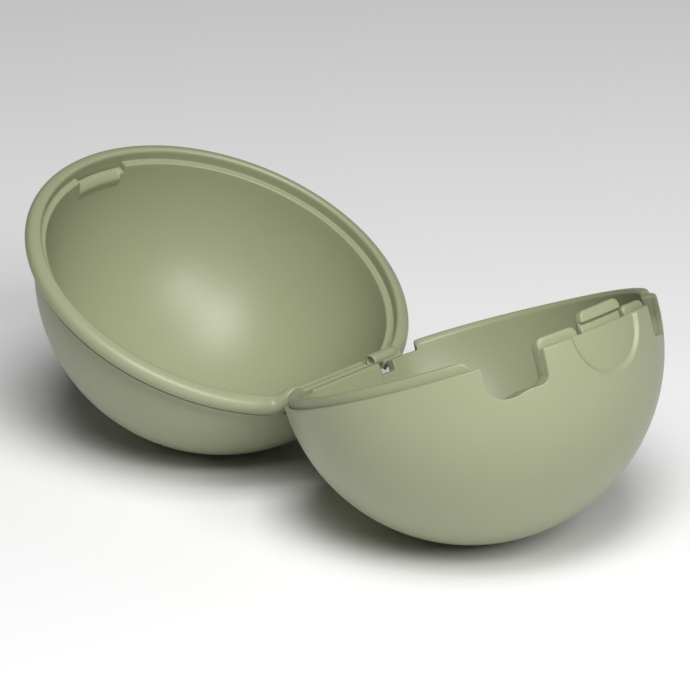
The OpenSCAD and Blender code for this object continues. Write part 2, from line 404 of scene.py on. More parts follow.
@dataclass
class Rim:
    """Edge of a bowl, column by column.

    Attributes:
        az_out: Angles on the outer skin.
        az_in: Angles on the inner skin.
        z_out: Heights of the outer edge.
        z_in: Heights of the inner edge.
        run: Number of the run that each column comes from.
    """

    az_out: np.ndarray
    az_in: np.ndarray
    z_out: np.ndarray
    z_in: np.ndarray
    run: np.ndarray


def join_runs(runs: Sequence[Run]) -> Rim:
    """Strings runs of columns together all round a bowl, and keeps each column that two share once.

    Args:
        runs: Outer angles, inner angles and heights of each run, in order.

    Returns:
        The rim.
    """
    kept = []
    for k, run in enumerate(runs):
        before = runs[k - 1]
        shared = k > 0 and abs(run[0][0] - before[0][-1]) < TINY and abs(run[2][0] - before[2][-1]) < TINY
        kept.append(np.stack([*run, np.full(len(run[0]), k)])[:, int(shared):])
    az_out, az_in, z, number = np.concatenate(kept, axis=1)[:, :-1]
    return Rim(az_out, az_in, z, z.copy(), number)


def fillet_rows(
    edge: np.ndarray, into: np.ndarray, across: np.ndarray, radius: np.ndarray
) -> list[np.ndarray]:
    """Rows of a rounded edge.

    Args:
        edge: Points of the sharp edge.
        into: Unit vectors along the skin, away from the edge.
        across: Unit vectors across the wall, away from the skin.
        radius: Radius of the rounding at each column.

    Returns:
        Rows from the skin to the wall's end face.
    """
    rows = []
    for t in QUARTER:
        rows.append(edge + radius[:, None] * ((1 - math.sin(t)) * into + (1 - math.cos(t)) * across))
    return rows


def edge_vectors(edge: np.ndarray, other: np.ndarray) -> tuple[np.ndarray, np.ndarray]:
    """Directions at a bowl's edge.

    Args:
        edge: Loop of the edge.
        other: Loop of the edge on the wall's other side.

    Returns:
        Unit vectors along the skin away from the edge, and across the wall.
    """
    radial = unit(xyz(edge[:, 0], edge[:, 1], np.minimum(edge[:, 2], 0.0)))
    ahead = unit(np.roll(edge, -1, axis=0) - edge)
    behind = unit(edge - np.roll(edge, 1, axis=0))
    return unit(np.cross(unit(ahead + behind), radial)), unit(other - edge)


@dataclass
class BowlWall(Piece):
    """A bowl's wall between two skins, open at its rim and whole at its pole.

    Attributes:
        outer: Outer skin.
        inner: Inner skin.
        low_z: Height below which the columns are even.
        skirt: Shares of the way from the rim down to that height, for each row.
        dome_rows: Number of rows from there to the pole.
        opening_depth: Depth below the rim from which a level stretch is an opening's bottom.
        level_share: Share of a column's way along the rim that has to be level there.
    """

    outer: Skin = Skin(CASE.ball_r)
    inner: Skin = Skin(CASE.ball_r)
    low_z: float = -15.0
    skirt: tuple[float, ...] = (0.03, 0.08, 0.16, 0.26, 0.38, 0.52, 0.68, 0.84, 1.0)
    dome_rows: int = 30
    opening_depth: float = 1.0
    level_share: float = 0.2

    def __post_init__(self) -> None:
        """Draws the rim."""
        self.rim = self.draw_rim()
        self.edge_out = self.outer.at(self.rim.az_out, self.rim.z_out)
        self.edge_in = self.inner.at(self.rim.az_in, self.rim.z_in)
        self.low_az = self.spread()

    def draw_rim(self) -> Rim:
        """Draws the rim, each bowl in its own way."""
        raise NotImplementedError

    def rows(self) -> np.ndarray:
        """Draws all rows of the wall, each bowl in its own way."""
        raise NotImplementedError

    def build(self) -> bpy.types.Object:
        """Makes the bowl's object."""
        return self.build_tube(self.rows())

    def fixed_angles(self) -> np.ndarray:
        """Angles low on the bowl of columns that a form in its side holds in place, or NaN."""
        return np.full(len(self.rim.z_out), np.nan)

    def spread(self) -> np.ndarray:
        """Shares the columns out low on the bowl, so that none crosses an opening.

        Below each opening in the rim, and below a form in the side, the columns run straight
        down. Those between them, and those on the openings' sides, share out what is left by
        their distance along the rim.

        Returns:
            Angles in radians, rising from the first column.
        """
        az, z = self.rim.az_out, self.rim.z_out
        along = np.diff(np.append(az, az[0] + 2 * math.pi)) * self.outer.radius
        step = np.hypot(along, np.diff(np.append(z, z[0])))
        run = np.concatenate([[0.0], np.cumsum(step)])
        level = (along + np.roll(along, 1)) / (step + np.roll(step, 1))
        fixed = self.fixed_angles()
        held = ~np.isnan(fixed)
        place = np.where(held, fixed, az)
        pinned = held | ((z < z.max() - self.opening_depth) & (level > self.level_share))
        pinned[0] = True
        ends = np.append(place[pinned], place[0] + 2 * math.pi)
        return np.interp(run[:-1], np.append(run[:-1][pinned], run[-1]), ends)

    def down(self, skin: Skin, start: np.ndarray) -> list[np.ndarray]:
        """Rows of a skin from its edge to its pole.

        Args:
            skin: The skin.
            start: Points of the edge, which isn't among the rows.

        Returns:
            The rows in order, the pole last.
        """
        az, z = skin.chart(start)
        turn = (az - self.low_az + math.pi) % (2 * math.pi) - math.pi
        rows = [skin.at(self.low_az + (1 - w) * turn, (1 - w) * z + w * self.low_z) for w in self.skirt]
        top = math.asin(-self.low_z / skin.radius)
        for k in range(1, self.dome_rows + 1):
            angle = top + (math.pi / 2 - top) * k / self.dome_rows
            rows.append(skin.at(self.low_az, np.full_like(az, -skin.radius * math.sin(angle))))
        return rows

    def wrap(self, over: list[np.ndarray], start: np.ndarray) -> np.ndarray:
        """Adds both skins to the rows over the rim.

        Args:
            over: Rows over the rim, from the outer skin to the inner one.
            start: Points that the outer skin runs down from.

        Returns:
            All rows of the wall, from the outer pole to the inner pole.
        """
        return np.array(self.down(self.outer, start)[::-1] + over + self.down(self.inner, over[-1]))


@dataclass
class BaseWall(BowlWall):
    """A bowl of the base, whose rim has a run along the latch's side and others by the hinge.

    Attributes:
        edge_round: Rounding of the outer and of the inner edge.
        top: Height of the rim.
        join: Distance along the hinge at which the runs meet.
        fade: Length over which the inner columns by the hinge fall in with the outer ones.
        mouth: Outline of the near strap mouth, as (y, height, radius).
        mouth_ends: Where that outline meets the rim.
        path_step: Longest step along the latch's side.
        hinge_step: Longest step by the hinge.
    """

    edge_round: tuple[Rounding, Rounding] = (Rounding(0.1, 0.1, 0.0, 1.0),) * 2
    top: float = 0.0
    join: float = 36.0
    fade: float = 12.0
    mouth: tuple[Corner, ...] = (
        (-31.5, -8.8, 4.6), (-26.2, -8.8, 4.0), (-23.2, -8.0, 4.0), (-18.75, -8.0, 1.9))
    mouth_ends: tuple[float, float] = (-31.5, -18.6)
    path_step: float = 1.2
    hinge_step: float = 2.0

    def meet(self) -> float:
        """Angle in degrees at which the runs meet on the outer skin."""
        return math.degrees(math.asin(self.join / self.outer.radius))

    def away(self, y: float) -> float:
        """Angle in degrees from the latch of the place by the hinge at a distance along it."""
        return 180 - math.degrees(math.asin(y / self.outer.radius))

    def latch_run(self, path: np.ndarray) -> Run:
        """Columns on the latch's side.

        Args:
            path: Points as (distance along the hinge, height).

        Returns:
            Outer angles, inner angles and heights.
        """
        y, z = path[:, 0], path[:, 1]
        az_out, az_in = (np.arcsin(np.clip(y / skin.ring(z), -1, 1)) for skin in (self.outer, self.inner))
        return az_out, az_in, z

    def hinge_run(self, corners: Sequence[Corner], side: int) -> Run:
        """Columns on the hinge's side.

        Args:
            corners: Points as (degrees from the latch, height, radius).
            side: -1 where the run is at negative Y, otherwise 1.

        Returns:
            Outer angles, inner angles and heights.
        """
        radius = self.outer.radius
        on_skin = [(arc(corner[0], radius), *corner[1:]) for corner in corners]
        path = rounded_path(on_skin, self.hinge_step)
        az = path[:, 0] / radius
        meet_out = side * math.asin(self.join / radius)
        meet_in = side * math.asin(self.join / self.inner.radius)
        blend = np.exp(-np.abs(az - meet_out) * radius / self.fade)
        return az, az + (meet_in - meet_out) * blend, path[:, 1]

    def rounded_edges(self) -> tuple[np.ndarray, np.ndarray]:
        """Radius of the outer and of the inner edge at each column."""
        return self.edge_round[0].at(self.rim.z_out), self.edge_round[1].at(self.rim.z_in)


@dataclass
class BaseShell(BaseWall):
    """The base's outer shell, with the half-round thumb recess under the latch.

    Attributes:
        thumb_out: Radius of the recess at the outer skin.
        thumb_in: Radius of its floor.
        thumb_y: Distance of its middle from the latch's.
        thumb_depth: How deep it is.
        thin_edges: Radius of the outer and the inner edge where the recess thins the wall.
        thin_fade: Width beside the recess over which those radii change.
        thumb_gap: Distance from the recess to the next column.
        thumb_spread: How much wider than the recess its columns lie low on the bowl.
        cut_y: Outer end of the cuts for the hinge, and inner end of the near and the far one.
        cut_z: Depth of those cuts.
        low_z_by_hinge: Height of the rim between them.
        slope: Shares of the way from the floor out to the skin, for each row.
        floor: Shares of the way up the floor, for each row.
        around: First and last angle around the recess of its columns, in degrees, and their number.
        recess_run: Number of the rim's run that is the recess.
    """

    name: str = "shell"
    solids: tuple[str, ...] = ("base_shell",)
    inner: Skin = Skin(44.67)
    edge_round: tuple[Rounding, Rounding] = (
        Rounding(0.3, 0.26, -0.8, -0.1), Rounding(0.18, 0.03, -0.8, -0.1))
    thumb_out: float = 11.85
    thumb_in: float = 10.5
    thumb_y: float = 0.35
    thumb_depth: float = 1.0
    thin_edges: tuple[float, float] = (0.16, 0.1)
    thin_fade: float = 3.0
    thumb_gap: float = 0.2
    thumb_spread: float = 1.02
    cut_y: tuple[float, float, float] = (22.6, 15.8, 9.95)
    cut_z: float = -3.45
    low_z_by_hinge: float = -1.95
    slope: tuple[float, ...] = (1.0, 0.94, 0.86, 0.76, 0.64, 0.52, 0.4, 0.28, 0.17, 0.08, 0.0)
    floor: tuple[float, ...] = (0.06, 0.2, 0.4, 0.6, 0.8)
    around: tuple[float, float, int] = (-87.5, 87.5, 41)
    recess_run: int = 2

    def latch_side(self, end: float) -> np.ndarray:
        """Draws the rim at negative Y, from where the runs meet past the mouth to the recess.

        Args:
            end: Where it ends along the hinge.

        Returns:
            Points as (distance along the hinge, height).
        """
        first, last = self.mouth_ends
        mouth = [(first, self.top, 0.6), *self.mouth, (last, self.top, 0.45)]
        return rounded_path([(-self.join, self.top), *mouth, (end, self.top)], self.path_step)

    def draw_rim(self) -> Rim:
        """Draws the rim with its mouths, the recess and the cuts for the hinge.

        Returns:
            The rim.
        """
        top, deep, low, meet = self.top, self.cut_z, self.low_z_by_hinge, self.meet()
        outside, near_end, far_end = map(self.away, self.cut_y)
        left = [(-180, low), (-near_end, low, 0.3), (-near_end, deep, 0.3), (-outside, deep, 0.3),
                (-outside, top, 0.5), (-meet, top)]
        right = [(meet, top), (outside, top, 0.5), (outside, deep, 0.3), (far_end, deep, 0.3),
                 (far_end, low, 0.3), (180, low)]
        y = self.thumb_y + self.thumb_in * np.sin(np.radians(np.linspace(*self.around)))
        beside = self.thumb_out + self.thumb_gap
        return join_runs([
            self.hinge_run(left, -1),
            self.latch_run(self.latch_side(self.thumb_y - beside)),
            self.latch_run(np.stack([y, np.full_like(y, top)], axis=-1)),
            self.latch_run(mirrored(self.latch_side(-self.thumb_y - beside))),
            self.hinge_run(right, 1),
        ])

    def thumb_angles(self) -> tuple[np.ndarray, np.ndarray]:
        """Finds the recess's columns.

        Returns:
            Which columns lie in the recess, and the angle around it of each column.
        """
        inside = self.rim.run == self.recess_run
        theta = np.zeros(len(inside))
        theta[inside] = np.radians(np.linspace(*self.around))
        return inside, theta

    def fixed_angles(self) -> np.ndarray:
        """Holds the recess's columns in place.

        Returns:
            Their angles low on the bowl, and NaN for all other columns.
        """
        inside, theta = self.thumb_angles()
        radius = self.outer.radius
        place = self.thumb_spread * np.arcsin(self.thumb_out * np.sin(theta) / radius) + self.thumb_y / radius
        return np.where(inside, place, np.nan)

    def sunk(self, y: np.ndarray, z: np.ndarray, depth: float) -> np.ndarray:
        """Points at a depth under the outer skin."""
        ring = self.outer.ring(z)
        return xyz(np.sqrt(np.maximum(ring**2 - y**2, 0.0)) - depth, y, z)

    def rows(self) -> np.ndarray:
        """Draws all rows of the wall, with the recess let into the outer skin.

        Returns:
            The rows, from the outer pole to the inner one.
        """
        inside, theta = self.thumb_angles()
        chosen = inside[:, None]
        y, bottom = self.thumb_y + self.thumb_in * np.sin(theta), self.thumb_in * np.cos(theta)
        beside = np.abs(self.edge_out[:, 1] - self.thumb_y)
        clear = smooth(beside, self.thumb_out, self.thumb_out + self.thin_fade)
        clear = np.where(self.edge_out[:, 0] > 0, clear, 1.0)
        widths = zip(self.thin_edges, self.rounded_edges())
        round_out, round_in = (thin + clear * (full - thin) for thin, full in widths)
        edge = np.where(chosen, self.sunk(y, np.full_like(y, self.top), self.thumb_depth), self.edge_out)
        over = fillet_rows(edge, *edge_vectors(edge, self.edge_in), round_out)
        under = fillet_rows(self.edge_in, *edge_vectors(self.edge_in, edge), round_in)[::-1]
        recess = []
        for out in self.slope:
            radius = self.thumb_in + out * (self.thumb_out - self.thumb_in)
            depth = self.thumb_depth * smooth(1 - out, 0.0, 1.0)
            side, z = self.thumb_y + radius * np.sin(theta), self.top - radius * np.cos(theta)
            recess.append(self.sunk(side, z, depth))
        for up in self.floor:
            recess.append(self.sunk(y, self.top - bottom + up * (bottom - round_out), self.thumb_depth))
        around = [np.where(chosen, row, over[0]) for row in recess]
        return self.wrap(around + over + under, around[0])


@dataclass
class BaseLiner(BaseWall):
    """The base's liner, with bevelled tongues, mouths, latch slot and hinge window.

    Attributes:
        tongue_h: Height of the tongues.
        bevel: Bevel along the inner side of the tongues.
        bevel_z: Height below which there is no bevel.
        foot_rows: Distances of two rows from the foot of the rim where there is no bevel.
        foot_tight: The same at the full bevel, for both rows.
        tongue_end: Angle in degrees from the latch at which the long tongues end.
        tongue_y: Where the near long tongue ends, beside the strap mouth.
        slit: Width of the slits beside the hook.
        slot_z: Bottom of the hook's slot.
        window_y: Ends of the hinge window along the hinge.
        window_z: Bottom of the window.
        far_drop: How much lower the far tongue is drawn.
        far_turns: Angles in degrees at which that starts, is full, starts to fade and has faded.
        cheek: How far the window's wall is turned to stand square to the hinge.
        cheek_width: Width beside the window over which that fades.
    """

    name: str = "liner"
    slot: Slot = Slot.LINER
    solids: tuple[str, ...] = ("base_liner",)
    outer: Skin = Skin(44.65, 41.45)
    inner: Skin = Skin(42.5, CASE.base_flat)
    edge_round: tuple[Rounding, Rounding] = (
        Rounding(0.62, 0.04, 0.2, 1.6), Rounding(0.32, 0.12, 0.2, 1.6))
    top: float = -0.1
    hinge_step: float = 1.6
    tongue_h: float = 2.4
    bevel: float = 1.0
    bevel_z: float = 0.3
    foot_rows: tuple[float, float] = (0.28, 0.36)
    foot_tight: float = 0.1
    tongue_end: float = 152.2
    tongue_y: float = -32.3
    slit: float = 1.5
    slot_z: float = -8.15
    window_y: tuple[float, float] = (8.25, 12.9)
    window_z: float = -2.75
    far_drop: float = 0.75
    far_turns: tuple[float, float, float, float] = (5.0, 28.0, 95.0, 150.0)
    cheek: float = 0.6
    cheek_width: float = 1.5

    def draw_rim(self) -> Rim:
        """Draws the rim.

        Returns:
            The rim, with the far tongue lowered and the window's wall turned square.
        """
        top, tall, end, meet = self.top, self.tongue_h, self.tongue_end, self.meet()
        low, (near, far) = self.window_z, map(self.away, self.window_y)
        left = [(-180, top), (-end, top, 0.3), (-end, tall, 1.4), (-meet, tall)]
        right = [(meet, tall), (end, tall, 0.7), (end, top, 0.3), (far, top, 0.2), (far, low, 0.2),
                 (near, low, 0.2), (near, top, 0.2), (180, top)]
        slot, (first, last) = CASE.hook_half + self.slit, self.mouth_ends
        path = rounded_path([
            (-self.join, tall), (self.tongue_y, tall, 1.5), (self.tongue_y, top, 0.3), (first, top, 0.25),
            *self.mouth, (last, tall, 1.6), (-slot, tall, 1.6), (-slot, self.slot_z, 0.5), (0.0, self.slot_z),
        ], self.path_step)
        rim = join_runs([self.hinge_run(left, -1), self.latch_run(path),
                         self.latch_run(mirrored(path)), self.hinge_run(right, 1)])
        turn = np.degrees(rim.az_out)
        starts, full, fades, ends = self.far_turns
        drop = self.far_drop * smooth(turn, starts, full) * (1 - smooth(turn, fades, ends))
        drop *= smooth(rim.z_out, self.bevel_z, tall)
        radius = self.outer.radius
        beside = (radius * np.sin(rim.az_out) - self.window_y[1]) / self.cheek_width
        rim.az_out += np.where(turn > 90, self.cheek / radius * np.exp(-(beside**2)), 0.0)
        rim.z_out -= drop
        rim.z_in -= drop
        return rim

    def rows(self) -> np.ndarray:
        """Draws all rows of the wall, with the bevel between the rim's top and the inner skin.

        Returns:
            The rows, from the outer pole to the inner one.
        """
        share = self.bevel * smooth(self.rim.z_in, self.bevel_z, self.tongue_h)[:, None]
        into_in, back = edge_vectors(self.edge_in, self.edge_out)
        foot, crest = self.edge_in + into_in * share, self.edge_in + back * share
        slope = unit((1 - share) * into_in + foot - crest)
        round_out, round_in = self.rounded_edges()
        over = fillet_rows(self.edge_out, *edge_vectors(self.edge_out, crest), round_out)
        under = fillet_rows(crest, slope, back, round_in)[::-1]
        (first, second), tight = self.foot_rows, self.foot_tight
        at_foot = foot + first * (1 - share) * into_in - tight * share * slope
        below_foot = foot + (second + (tight - second) * share) * into_in
        return self.wrap(over + under + [at_foot, below_foot], over[0])


@dataclass
class LidBowl(BowlWall):
    """The lid's bowl, drawn upside down: its ledge, its cut for the hinge and the hook's catch.

    Attributes:
        flat_out: Distance from the middle of the cut's wall.
        cut_z: Height to which the hinge is cut out.
        cut_end: Angle in degrees from the latch at which the cut starts.
        ledge_r: Radius of the ledge's inner edge.
        ledge_flat: How much further out the ledge's flat lies than the inner skin's.
        wall_z: Heights of the rows on the inner skin above the ledge.
        catch_end: Half the angle of the catch's slot, in degrees.
        pad_end: Angle at which the catch's pad ends on the far side.
        pad_ease: How much of the plain wall is left at the pad's ends, and over how many degrees.
        pad: Section of the catch through its pad, row by row, as (ring radius, height).
        gap: The same beside the pad.
    """

    name: str = "lid_dome"
    body: Body = Body.LID
    solids: tuple[str, ...] = ("lid_bowl",)
    inner: Skin = Skin(43.85, 40.6)
    flat_out: float = 42.4
    cut_z: float = 7.35
    cut_end: float = 158.3
    ledge_r: float = 0.4
    ledge_flat: float = 0.14
    wall_z: tuple[float, ...] = (4.5, 5.4, 6.3, 7.2, 8.1, 9.0)
    catch_end: float = 10.45
    pad_end: float = 8.9
    pad_ease: tuple[float, float] = (0.14, 0.35)
    pad: tuple[Corner, ...] = (
        (45.88, 3.5), (45.62, 3.5), (45.6, 3.6), (45.58, 5.4), (45.3, 5.4), (45.26, 5.2), (45.2, 5.08),
        (44.9, 5.05), (44.5, 5.12), (44.1, 5.3), (43.7, 5.56), (43.35, 5.88), (43.05, 6.2), (42.86, 6.52),
        (42.78, 6.85), (42.77, 7.25), (42.79, 7.7), (42.83, 8.1), (42.87, 8.5), (42.92, 8.9))
    gap: tuple[Corner, ...] = (
        (45.88, 3.5), (45.62, 3.5), (45.6, 3.6), (45.58, 5.3), (44.95, 5.3), (44.7, 5.3), (44.5, 5.3),
        (44.3, 5.3), (44.0, 5.32), (43.7, 5.4), (43.5, 5.6), (43.44, 6.0), (43.38, 6.4), (43.32, 6.8),
        (43.25, 7.2), (43.18, 7.6), (43.11, 8.0), (43.04, 8.4), (42.98, 8.7), (42.92, 9.0))

    def draw_rim(self) -> Rim:
        """Draws the rim, with columns close together at the catch's ends.

        Returns:
            The rim.
        """
        radius, ledge, cut = self.outer.radius, -CASE.ledge_z, -self.cut_z
        corner = arc(-self.cut_end, radius)
        left = rounded_path([(arc(-180, radius), cut), (corner, cut, 0.4), (corner, ledge, 0.4),
                             (arc(-14, radius), ledge)], 1.8)
        catch, pad = self.catch_end, self.pad_end
        marks = [-12.5, -11.3, -10.7, -catch - 0.015, -catch + 0.015, -catch + 0.12, -catch + 0.38]
        marks += list(np.linspace(-9.0, 7.8, 15))
        marks += [pad - 0.38, pad - 0.12, pad - 0.015, pad + 0.015, pad + 0.4]
        marks += [catch - 0.5, catch - 0.015, catch + 0.015, 10.7, 11.3, 12.5]
        middle = np.array([(arc(mark, radius), ledge) for mark in marks])
        path = np.concatenate([left, middle, mirrored(left)])[:-1]
        az = path[:, 0] / radius
        return Rim(az, az.copy(), path[:, 1], np.full(len(az), ledge), np.zeros(len(az)))

    def rows(self) -> np.ndarray:
        """Draws all rows of the wall, over the ledge, with the hinge's cut and the catch.

        Returns:
            The rows, from the outer pole to the inner one.
        """
        az, ledge, radius = self.rim.az_in, CASE.ledge_z, self.ledge_r
        out_ring, in_ring = (float(skin.ring(-ledge)) for skin in (self.outer, self.inner))
        across = in_ring + radius - out_ring
        rows = [self.level(out_ring + across * share, ledge) for share in np.linspace(0, 1, 9)]
        for t in QUARTER[1:]:
            rows.append(self.level(in_ring + radius * (1 - math.sin(t)), ledge + radius * (1 - math.cos(t))))
        rows += [self.inner.at(az, np.full_like(az, -z)) for z in self.wall_z]
        self.cut_for_hinge(rows)
        self.put_catch(rows)
        return self.wrap(rows, self.edge_out)

    def level(self, ring: float, height: float) -> np.ndarray:
        """Draws one level row, flat by the hinge as the inner skin is.

        Args:
            ring: Radius of the row.
            height: Its height in the lid.

        Returns:
            The row.
        """
        skin = Skin(ring, self.inner.flat + ring - self.inner.radius + self.ledge_flat, self.inner.soft)
        row = skin.at(self.rim.az_in, np.zeros_like(self.rim.az_in))
        row[:, 2] = -height
        return row

    def cut_for_hinge(self, rows: list[np.ndarray]) -> None:
        """Steps the outer part of the ledge down where the hinge has its room.

        Args:
            rows: The ledge's rows, changed in place.
        """
        hinge = np.abs(self.rim.z_out + CASE.ledge_z) > TINY
        x, y, z = self.edge_out.T
        foot = xyz(np.maximum(x, -self.flat_out), y, z)
        brink = xyz(foot[:, 0], y, -CASE.ledge_z)
        places = [self.edge_out, foot] + [brink + (rows[8] - brink) * k / 6 for k in range(7)]
        for row, place in zip(rows, places):
            row[hinge] = place[hinge]

    def put_catch(self, rows: list[np.ndarray]) -> None:
        """Draws the catch's slot and sloping pad into the columns by the latch.

        Args:
            rows: The ledge's and upper wall's rows, changed in place.
        """
        az = self.rim.az_in
        deg = np.degrees(az)
        left, width = self.pad_ease
        inside = np.clip(np.minimum(deg + self.catch_end, self.pad_end - deg) / width, 0.0, 1.0)
        ease = (1 - left + left * np.sqrt(inside))[:, None]
        in_pad = (deg > -self.catch_end) & (deg < self.pad_end)
        in_gap = (deg > self.pad_end) & (deg < self.catch_end)
        for row, pad, gap in zip(rows, self.pad, self.gap):
            pad_row, gap_row = (xyz(ring * np.cos(az), ring * np.sin(az), -z) for ring, z in (pad, gap))
            row[in_pad] = (pad_row * ease + row * (1 - ease))[in_pad]
            row[in_gap] = gap_row[in_gap]


# The collar


@dataclass
class LidCollar(Piece):
    """The lid's collar: one section swept round the bowl, that runs out into two hinge arms.

    Attributes:
        inner_r: Radius of its inner wall.
        lip: Radius of its inner lip and height of the lip's middle.
        shoulder: Start of its slope, as (outward from the bead's middle, height).
        foot_z: Height of its foot.
        foot_out: How far the foot stands out from the ball.
        heel: How far the foot's band stands out further, and the radius of its edge.
        end: Angle in degrees from the hinge at which the ring ends.
        arm_r: Radius of the arms.
        arm_rise: Distance of the arms' middle from the hinge line.
        arm_y: Where the arms' straight parts start, along the hinge.
        arm_ends: Where the far arm and the near arm end.
        handles: Lengths of the bend's handles at the ring and at the arm.
        bend_rows: Number of rows on the bend.
        bend_change: Share of the bend over which the section changes to the arm's.
        arm_step: Length of a step on the arms' straight parts.
        ring_rows: Number of rows on the ring.
        least_turn: Least angle between the section's points, in radians.
        groove: Line above the foot, as (along the slope, outward).
        arm_end: Rounded and dished end of an arm, as (radius, distance past its middle).
    """

    name: str = "collar_bead"
    body: Body = Body.LID
    solids: tuple[str, ...] = ("lid_collar",)
    inner_r: float = 45.6
    lip: tuple[float, float] = (0.9, 1.55)
    shoulder: tuple[float, float] = (0.42, 5.12)
    foot_z: float = 7.05
    foot_out: float = 1.1
    heel: tuple[float, float] = (0.5, 0.14)
    end: float = 28.5
    arm_r: float = 1.7
    arm_rise: float = 1.15
    arm_y: float = 16.9
    arm_ends: tuple[float, float] = (10.3, 16.1)
    handles: tuple[float, float] = (3.2, 2.6)
    bend_rows: int = 26
    bend_change: float = 0.8
    arm_step: float = 0.7
    ring_rows: int = 229
    least_turn: float = 0.03
    groove: tuple[Corner, ...] = (
        (-0.14, 0.0), (-0.07, 0.05), (0.0, 0.07), (0.04, 0.0), (0.07, -0.1), (0.13, -0.19), (0.24, -0.22))
    arm_end: tuple[Corner, ...] = (
        (1.65, 0.1), (1.5, 0.22), (1.4, 0.25), (1.2, 0.25), (1.12, 0.2), (1.08, 0.1), (1.05, -0.1),
        (1.0, -0.16), (0.9, -0.19), (0.5, -0.2), (0.0, -0.2))

    def __post_init__(self) -> None:
        """Draws the section, and finds each point's angle about its middle, always rising."""
        self.section = self.draw_section()
        self.angle = np.unwrap(np.arctan2(self.section[:, 1], self.section[:, 0]))
        for k in range(1, len(self.angle)):
            self.angle[k] = max(self.angle[k], self.angle[k - 1] + self.least_turn)
        self.circle = np.stack([np.cos(self.angle), np.sin(self.angle)], axis=-1)

    def draw_section(self) -> np.ndarray:
        """Draws the section about the bead's middle.

        Returns:
            Points as (outward, towards the lid's top).
        """
        ring, mid_z = CASE.bead_ring, CASE.bead_z
        (lip_r, lip_z), (heel_out, heel_r) = self.lip, self.heel
        seat = [(-1.54, z - mid_z) for z in (3.5, 3.05, 2.5, 2.0)]
        lip = circle_points(self.inner_r + lip_r - ring, lip_z - mid_z, lip_r, range(186, 268, 9))
        bead = circle_points(0.0, 0.0, CASE.bead_r, range(-70, 62, 6))
        shoulder = np.array([self.shoulder[0], self.shoulder[1] - mid_z])
        foot_ring = math.sqrt(CASE.ball_r**2 - self.foot_z**2)
        foot = np.array([foot_ring + self.foot_out - ring, self.foot_z - mid_z])
        down = foot - shoulder
        slope = [shoulder + down * share for share in (0.0, 0.16, 0.32, 0.42)]
        side = unit(down)
        outward = np.array([-side[1], side[0]])
        groove = [shoulder + down * 0.5 + side * along + outward * out for along, out in self.groove]
        corner = foot + np.array([heel_out, -heel_r])
        band = [groove[-1] * (1 - share) + corner * share for share in (0.3, 0.6, 0.9)]
        heel = circle_points(corner[0] - heel_r, corner[1], heel_r, (10, 30, 50, 70, 90))
        under = [(-1.67, 3.42), (-1.6, 2.6), (-1.56, 1.3)]
        return np.array([tuple(p) for p in (*seat, *lip, *bead, *slope, *groove, *band, *heel, *under)])

    def centres(self, y_end: float) -> tuple[np.ndarray, np.ndarray]:
        """Draws the middle line from the ring's end at positive Y to the end of its arm.

        Args:
            y_end: Where the arm ends along the hinge.

        Returns:
            The points, and how far each is changed from the ring's section to the arm's, 0 to 1.
        """
        end = math.radians(180 - self.end)
        open_by = math.radians(CASE.open_angle)
        start = ring_at(end, CASE.bead_ring, CASE.bead_z)
        stop = np.array([self.arm_rise * math.sin(open_by) - CASE.hinge_x, self.arm_y,
                         self.arm_rise * math.cos(open_by) + CASE.hinge_z])
        first = start + ring_at(end + math.pi / 2, self.handles[0], 0.0)
        last = stop + np.array([0.0, self.handles[1], 0.0])
        t = np.linspace(0.0, 1.0, self.bend_rows + 1)[1:, None]
        bend = (1 - t) ** 3 * start + 3 * t * (1 - t) ** 2 * first + 3 * t**2 * (1 - t) * last + t**3 * stop
        count = max(2, int((self.arm_y - y_end) / self.arm_step))
        length = np.array([0.0, y_end - self.arm_y, 0.0])
        straight = stop + np.linspace(0.0, 1.0, count + 1)[1:, None] * length
        change = np.append(np.minimum(1.0, t[:, 0] / self.bend_change), np.ones(count))
        return np.vstack([bend, straight]), change

    def arm_rows(self, y_end: float) -> list[np.ndarray]:
        """Sweeps the section from the ring's end to the arm's end, on the side of positive Y.

        Args:
            y_end: Where the arm ends along the hinge.

        Returns:
            The rows.
        """
        line, change = self.centres(y_end)
        end = math.radians(180 - self.end)
        out, up, heading = ring_at(end, 1.0, 0.0), UP, ring_at(end + math.pi / 2, 1.0, 0.0)
        before = ring_at(end, CASE.bead_ring, CASE.bead_z)
        rows = []
        for centre, after, share in zip(line, [*line[1:], line[-1]], smooth(change, 0.0, 1.0)):
            ahead = unit(after - before)
            axis = np.cross(heading, ahead)
            size = float(np.linalg.norm(axis))
            if size > 1e-9:
                spin = np.array(Matrix.Rotation(math.asin(min(1.0, size)), 3, Vector(axis / size)))
                out, up = spin @ out, spin @ up
            heading, before = ahead, centre
            radius = CASE.bead_r + (self.arm_r - CASE.bead_r) * share
            section = self.section * (1 - share) + radius * self.circle * share
            rows.append(self.swept(section, centre, out, up))
        for radius, past in self.arm_end:
            rows.append(self.swept(radius * self.circle, line[-1] + heading * past, out, up))
        return rows

    @staticmethod
    def swept(section: np.ndarray, centre: np.ndarray, out: np.ndarray, up: np.ndarray) -> np.ndarray:
        """One row: a section about a centre, along two directions."""
        return centre + section[:, :1] * out + section[:, 1:] * up

    def build(self) -> bpy.types.Object:
        """Makes the collar's object with both arms.

        Returns:
            The object.
        """
        far, near = (self.arm_rows(y_end) for y_end in self.arm_ends)
        rows = [row * np.array([1.0, -1.0, 1.0]) for row in near[::-1]]
        limit = math.radians(180 - self.end)
        for angle in np.linspace(-limit, limit, self.ring_rows):
            middle = ring_at(angle, CASE.bead_ring, CASE.bead_z)
            rows.append(self.swept(self.section, middle, ring_at(angle, 1.0, 0.0), UP))
        return self.build_tube(np.array(rows + far))


# Smaller pieces


